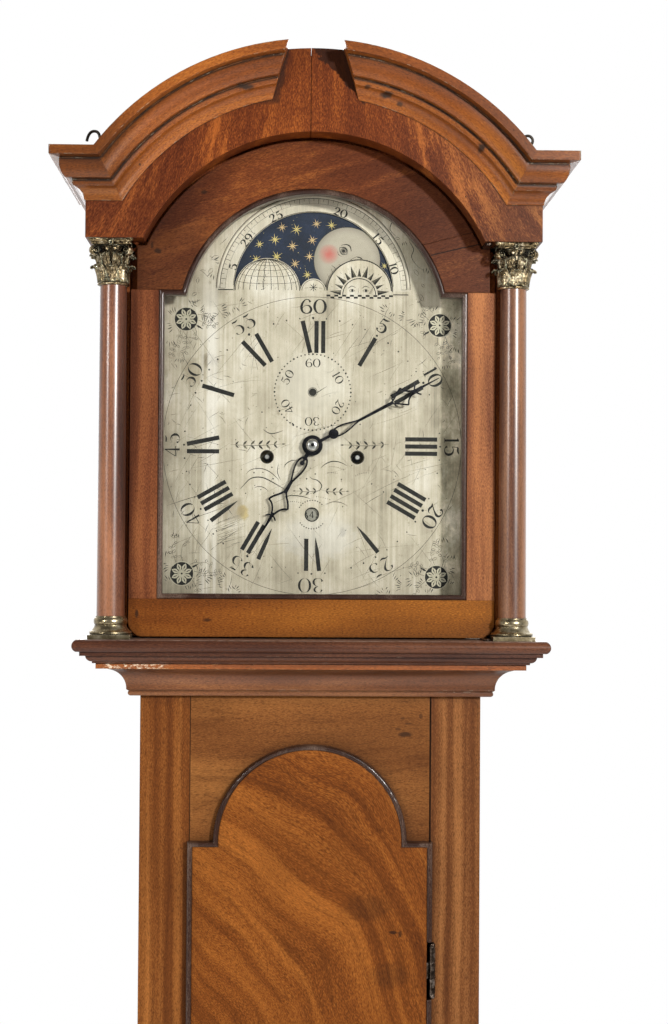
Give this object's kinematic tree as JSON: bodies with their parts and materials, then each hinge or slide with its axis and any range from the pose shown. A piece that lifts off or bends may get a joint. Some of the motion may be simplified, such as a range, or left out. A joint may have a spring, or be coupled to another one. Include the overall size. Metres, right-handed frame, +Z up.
{
  "type": "longcase clock",
  "caption": "Tall mahogany longcase clock with arched sliding hood, brass-capped columns, glazed hood door, silvered moon-phase dial, trunk door, pendulum and weights.",
  "frame": {"origin": "middle of the footprint box on the floor", "axes": "+Z up, -Y towards the dial side, +X to the viewer's right"},
  "size_m": [0.509, 0.256, 2.1786],
  "materials": {
    "mahogany_hood": "french polished, gloss",
    "mahogany_moulding": "polished, darkened",
    "mahogany_trunk": "french polished, gloss",
    "oak": "unfinished, aged",
    "brass_aged": "cast, patinated",
    "brass_movement": "brushed",
    "silvered_brass": "silvered, worn",
    "steel": "brushed",
    "blued_steel": "blued",
    "iron": "forged, rusted",
    "painted_disc": "hand painted",
    "glass": "clear",
    "gut": "waxed gut"
  },
  "bodies": {
    "case": {"plinth_skirting": "mahogany_moulding", "base_front": "mahogany_trunk", "base_panel": "mahogany_trunk", "base_sides": "mahogany_trunk", "base_moulding": "mahogany_moulding", "backboard": "oak", "trunk_sides": "mahogany_trunk", "trunk_stiles": "mahogany_trunk", "trunk_rails": "mahogany_trunk", "throat_moulding": "mahogany_moulding", "seatboard": "oak", "trunk_hinge_frame": "brass_aged", "front_plate": "brass_movement", "back_plate": "brass_movement", "movement_pillars": "brass_movement", "dial_plate": "silvered_brass", "back_cock": "brass_movement", "bell_stand": "steel", "bell": "brass_movement"},
    "hood": {"hood_sides": "mahogany_hood", "hood_roof": "mahogany_hood", "hood_fascia": "mahogany_hood", "hood_cornice": "mahogany_moulding", "hood_base_moulding": "mahogany_moulding", "hood_front_frame": "mahogany_hood", "hood_columns": "mahogany_hood", "column_capitals": "brass_aged", "column_bases": "brass_aged", "hood_hooks": "iron"},
    "hood_door": {"hood_door_stiles": "mahogany_hood", "hood_door_bottom_rail": "mahogany_hood", "hood_door_arch_rail": "mahogany_hood", "hood_door_bead": "mahogany_moulding", "hood_door_glass": "glass", "hood_door_pivots": "brass_aged"},
    "trunk_door": {"trunk_door_panel": "mahogany_trunk", "trunk_door_bead": "mahogany_moulding", "trunk_hinge_door": "brass_aged", "trunk_lock": "brass_aged"},
    "lock_bolt": {"trunk_lock_bolt": "steel"},
    "minute": {"minute_hand": "blued_steel", "centre_wheel": "brass_movement"},
    "hour": {"hour_hand": "blued_steel", "hour_wheel": "brass_movement"},
    "minute_wheel": {"minute_wheel": "brass_movement"},
    "going_barrel": {"going_barrel": "brass_movement"},
    "third_wheel": {"third_wheel": "brass_movement"},
    "escape_wheel": {"escape_wheel": "brass_movement"},
    "pendulum": {"anchor_crutch": "steel", "pendulum_rod": "steel", "pendulum_bob": "brass_movement"},
    "strike_barrel": {"strike_barrel": "brass_movement"},
    "pin_wheel": {"pin_wheel": "brass_movement"},
    "hammer": {"hammer": "steel"},
    "moon": {"moon_disc": "painted_disc"},
    "date": {"date_disc": "silvered_brass"},
    "going_weight": {"going_weight": "brass_movement", "going_line": "gut"},
    "strike_weight": {"strike_weight": "brass_movement", "strike_line": "gut"}
  },
  "joints": [
    {"name": "hood_slide", "type": "slide", "parent": "case", "child": "hood", "axis": [0, -1, 0], "range_m": [0, 0.3]},
    {"name": "hood_door_hinge", "type": "hinge", "parent": "hood", "child": "hood_door", "pos_m": [0.1705, -0.088, 1.8], "axis": [0, 0, 1], "range_deg": [0, 105]},
    {"name": "trunk_door_hinge", "type": "hinge", "parent": "case", "child": "trunk_door", "pos_m": [0.1223, -0.0475, 1], "axis": [0, 0, 1], "range_deg": [0, 115]},
    {"name": "lock_bolt_slide", "type": "slide", "parent": "trunk_door", "child": "lock_bolt", "axis": [-1, 0, 0], "range_m": [0, 0.009]},
    {"name": "minute_hand_spin", "type": "hinge", "parent": "case", "child": "minute", "pos_m": [0, 0, 1.7945], "axis": [0, 1, 0], "continuous": true},
    {"name": "hour_hand_spin", "type": "hinge", "parent": "case", "child": "hour", "pos_m": [0, 0, 1.7945], "axis": [0, 1, 0], "continuous": true},
    {"name": "minute_wheel_spin", "type": "hinge", "parent": "case", "child": "minute_wheel", "pos_m": [0.0144, 0, 1.7753], "axis": [0, 1, 0], "continuous": true},
    {"name": "going_barrel_spin", "type": "hinge", "parent": "case", "child": "going_barrel", "pos_m": [0.0455, 0, 1.783], "axis": [0, 1, 0], "continuous": true},
    {"name": "third_wheel_spin", "type": "hinge", "parent": "case", "child": "third_wheel", "pos_m": [0.01706, 0, 1.82391], "axis": [0, 1, 0], "continuous": true},
    {"name": "escape_wheel_spin", "type": "hinge", "parent": "case", "child": "escape_wheel", "pos_m": [0, 0, 1.8485], "axis": [0, 1, 0], "continuous": true},
    {"name": "pendulum_swing", "type": "hinge", "parent": "case", "child": "pendulum", "pos_m": [0, 0.08, 1.8825], "axis": [0, 1, 0], "range_deg": [-2.5, 2.5]},
    {"name": "strike_barrel_spin", "type": "hinge", "parent": "case", "child": "strike_barrel", "pos_m": [-0.0455, 0, 1.783], "axis": [0, 1, 0], "continuous": true},
    {"name": "pin_wheel_spin", "type": "hinge", "parent": "case", "child": "pin_wheel", "pos_m": [-0.03, 0, 1.8205], "axis": [0, 1, 0], "continuous": true},
    {"name": "hammer_lift", "type": "hinge", "parent": "case", "child": "hammer", "pos_m": [-0.062, 0.03, 1.8465], "axis": [0, -1, 0], "range_deg": [0, 12], "stiffness_Nm_per_rad": 0.5, "springref_deg": -6.88},
    {"name": "moon_disc_spin", "type": "hinge", "parent": "case", "child": "moon", "pos_m": [0, 0, 1.9503], "axis": [0, 1, 0], "continuous": true},
    {"name": "date_disc_spin", "type": "hinge", "parent": "case", "child": "date", "pos_m": [0, 0, 1.6922], "axis": [0, 1, 0], "continuous": true},
    {"name": "going_weight_drop", "type": "slide", "parent": "case", "child": "going_weight", "axis": [0, 0, -1], "range_m": [-0.16, 0.55], "deforming": ["going_line"]},
    {"name": "strike_weight_drop", "type": "slide", "parent": "case", "child": "strike_weight", "axis": [0, 0, -1], "range_m": [-0.2, 0.5], "deforming": ["strike_line"]}
  ],
  "couplings": [
    {"joint": "hour_hand_spin", "follows": "minute_hand_spin", "ratio": 0.083333},
    {"joint": "minute_wheel_spin", "follows": "minute_hand_spin", "ratio": -1},
    {"joint": "going_barrel_spin", "follows": "minute_hand_spin", "ratio": -0.083333},
    {"joint": "third_wheel_spin", "follows": "minute_hand_spin", "ratio": -7.5},
    {"joint": "escape_wheel_spin", "follows": "minute_hand_spin", "ratio": 60},
    {"joint": "pin_wheel_spin", "follows": "strike_barrel_spin", "ratio": -10.5}
  ]
}
